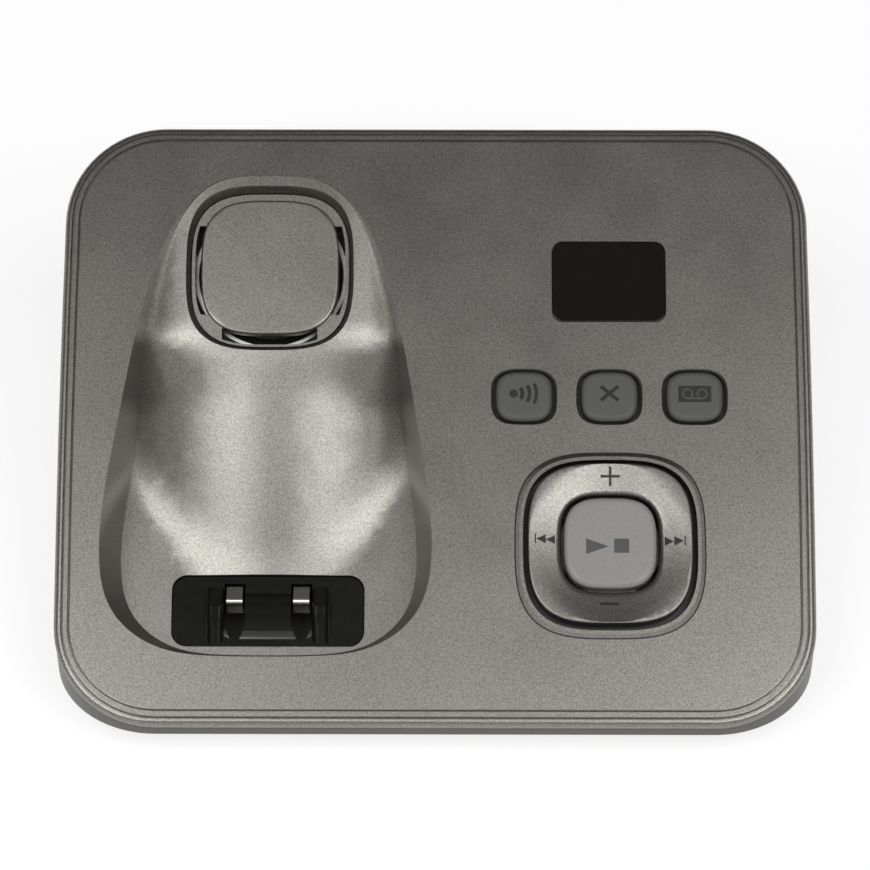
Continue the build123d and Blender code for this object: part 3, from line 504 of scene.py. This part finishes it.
def locator_mark():
    """A dot and three waves, each given by its inner and outer radius and half its angle"""
    outlines = [disc(LOCATOR_U, KEY_V, radius=0.82)]
    for inner, outer, half_angle in ((1.28, 2.10, 40), (2.68, 3.42, 32), (4.05, 4.70, 27)):
        outlines.append(arc(LOCATOR_U, KEY_V, inner, outer, radians(half_angle)))
    mark = printed("locator_mark", outlines, "locator_key", "locator_key", ink_dark)


def erase_mark():
    outline = cross(ERASE_U, KEY_V + 0.09, reach=2.2, width=0.72, angle=radians(40), turn=0.0)
    mark = printed("erase_mark", [outline], "erase_key", "erase_key", ink_dark)


def answer_mark():
    """Tape cassette: a dark plate with two pale reels joined by a line"""
    tape = plate(ANSWER_U, KEY_V, width=6.3, height=3.26, radius=0.2)
    mark = printed("answer_mark", [tape], "answer_key", "answer_key", ink_dark)
    reel_offset = 1.39
    lines = []
    for u in (ANSWER_U - reel_offset, ANSWER_U + reel_offset):
        lines += hoop(u, KEY_V, inner=0.82, outer=1.04)
    lines.append(bar(ANSWER_U, KEY_V - 0.93, length=2.3, width=0.22))
    pale = finishes["key_rubber"]
    reels = printed("answer_mark_reels", lines, "answer_key", "answer_key", pale, OVER_PRINT_LIFT)


def ring_marks():
    """Plus, minus, and at each side two wedges and a bar"""
    plus = cross(33.38, -11.24, reach=1.83, width=0.5, angle=pi / 4, turn=pi / 4)
    minus = bar(33.0, -36.1, length=3.66, width=0.52)
    back = [
        bar(19.05, -23.45, length=0.24, width=1.95),
        wedge(21.03, 19.25, -23.5, height=1.75),
        wedge(22.8, 21.03, -23.6, height=1.75),
    ]
    forward = [
        wedge(43.62, 45.35, -23.9, height=1.8),
        wedge(45.45, 47.25, -23.85, height=1.8),
        bar(47.48, -23.78, length=0.26, width=1.8),
    ]
    outlines = [plus, minus, *back, *forward]
    mark = printed("ring_marks", outlines, "nav_ring", "ring_plate", ink_dark, RING_PRINT_LIFT)


def play_marks():
    """Wedge for play and square for stop"""
    play = wedge(28.67, 32.95, -25.1, height=3.05)
    stop = bar(35.41, -24.98, length=2.84, width=2.76)
    mark = printed("play_marks", [play, stop], "play_button", "play_button", ink_play)


locator_mark()
erase_mark()
answer_mark()
ring_marks()
play_marks()


# Floor, light and camera: lengths in metres, angles in degrees
FLOOR_FLAT = 1.6
FLOOR_SWEEP = 0.5
FLOOR_WALL = 0.5
FLOOR_PALE = (0.80, 0.80, 0.80, 1.0)
FLOOR_SHADE = (0.45, 0.45, 0.45, 1.0)
FLOOR_GLOW = 0.75
STUDIO_GREY = (0.085, 0.085, 0.085, 1.0)
SIDE_LAMP_TURN = 37.0
SIDE_LAMP = {"elevation": 54.0, "distance": 1.1, "width": 0.50, "height": 0.62, "radiance": 4.1}
FILL_LAMP = {"elevation": 50.0, "distance": 1.2, "width": 0.30, "height": 0.50, "radiance": 0.9}
CAMERA_PLACE = Vector((1.7565, -451.869, 571.284)) * MM
CAMERA_RIGHT = Vector((0.999994, 0.003302, -0.000693))
CAMERA_UP = Vector((-0.002084, 0.766039, 0.642790))
CAMERA_AHEAD = Vector((-0.002653, 0.642785, -0.766042))
SENSOR_WIDTH_MM = 36.0
LENS_LENGTH_MM = 150.41
NEAREST_SEEN = 0.05


def floor_finish():
    """Pale floor that reads white to the eye and keeps the shadow"""
    finish = bpy.data.materials.new("pale_floor")
    finish.use_nodes = True
    finish.node_tree.nodes.clear()
    ray = add(finish, "ShaderNodeLightPath").outputs
    seen = reckon(finish, "MAXIMUM", ray["Is Camera Ray"], ray["Is Glossy Ray"])
    seen = reckon(finish, "MAXIMUM", seen, ray["Is Transmission Ray"])
    matt = add(finish, "ShaderNodeBsdfDiffuse", Color=FLOOR_PALE)
    shade = add(finish, "ShaderNodeBsdfDiffuse", Color=FLOOR_SHADE)
    glow = add(finish, "ShaderNodeEmission", Strength=FLOOR_GLOW)
    bright = add(finish, "ShaderNodeAddShader")
    pick = add(finish, "ShaderNodeMixShader")
    out = add(finish, "ShaderNodeOutputMaterial")
    join(finish, shade.outputs[0], bright.inputs[0])
    join(finish, glow.outputs[0], bright.inputs[1])
    join(finish, seen, pick.inputs[0])
    join(finish, matt.outputs[0], pick.inputs[1])
    join(finish, bright.outputs[0], pick.inputs[2])
    join(finish, pick.outputs[0], out.inputs["Surface"])
    return finish


def floor(flat_steps=4, sweep_steps=12, round_steps=96):
    """Round floor whose edge sweeps up into a low wall"""
    profile = [(FLOOR_FLAT * i / flat_steps, 0.0) for i in range(1, flat_steps + 1)]
    for i in range(1, sweep_steps + 1):
        t = pi / 2 * i / sweep_steps
        profile.append((FLOOR_FLAT + FLOOR_SWEEP * sin(t), FLOOR_SWEEP * (1 - cos(t))))
    profile.append((FLOOR_FLAT + FLOOR_SWEEP, FLOOR_SWEEP + FLOOR_WALL))
    turns = [2 * pi * i / round_steps for i in range(round_steps)]
    sheet = bmesh.new()
    middle = sheet.verts.new((0.0, 0.0, 0.0))
    rings = []
    for radius, z in profile:
        rings.append([sheet.verts.new((radius * cos(t), radius * sin(t), z)) for t in turns])
    for i in range(round_steps):
        k = (i + 1) % round_steps
        sheet.faces.new((middle, rings[0][i], rings[0][k]))
        for low, high in zip(rings, rings[1:]):
            sheet.faces.new((low[i], high[i], high[k], low[k]))
    for face in sheet.faces:
        face.smooth = True
    mesh = bpy.data.meshes.new("pale_floor")
    sheet.to_mesh(mesh)
    sheet.free()
    mesh.materials.append(floor_finish())
    piece = bpy.data.objects.new("pale_floor", mesh)
    bpy.context.scene.collection.objects.link(piece)


def softbox(name, azimuth, elevation, distance, width, height, radiance):
    """Rectangular lamp aimed at the face, level across its width"""
    lamp = bpy.data.lights.new(name, "AREA")
    lamp.shape = "RECTANGLE"
    lamp.size = width
    lamp.size_y = height
    lamp.energy = radiance * pi * width * height
    piece = bpy.data.objects.new(name, lamp)
    bpy.context.scene.collection.objects.link(piece)
    a, e = radians(azimuth), radians(elevation)
    away = Vector((sin(a) * cos(e), -cos(a) * cos(e), sin(e)))
    place = FACE_ORIGIN * MM + away * distance
    turn = away.to_track_quat("Z", "Y").to_matrix().to_4x4()
    piece.matrix_world = Matrix.Translation(place) @ turn


def light():
    world = bpy.data.worlds.new("studio")
    bpy.context.scene.world = world
    world.use_nodes = True
    world.node_tree.nodes["Background"].inputs["Color"].default_value = STUDIO_GREY
    softbox("left_softbox", -SIDE_LAMP_TURN, **SIDE_LAMP)
    softbox("right_softbox", SIDE_LAMP_TURN, **SIDE_LAMP)
    softbox("middle_fill", 0.0, **FILL_LAMP)


def camera():
    """Long lens in front of and above the phone base"""
    lens = bpy.data.cameras.new("camera")
    lens.sensor_width = SENSOR_WIDTH_MM
    lens.lens = LENS_LENGTH_MM
    lens.clip_start = NEAREST_SEEN
    piece = bpy.data.objects.new("camera", lens)
    bpy.context.scene.collection.objects.link(piece)
    turn = Matrix((CAMERA_RIGHT, CAMERA_UP, -CAMERA_AHEAD)).transposed().to_4x4()
    piece.matrix_world = Matrix.Translation(CAMERA_PLACE) @ turn
    bpy.context.scene.camera = piece


floor()
light()
camera()
bpy.context.scene.view_settings.view_transform = "Standard"

bpy.context.view_layer.update()
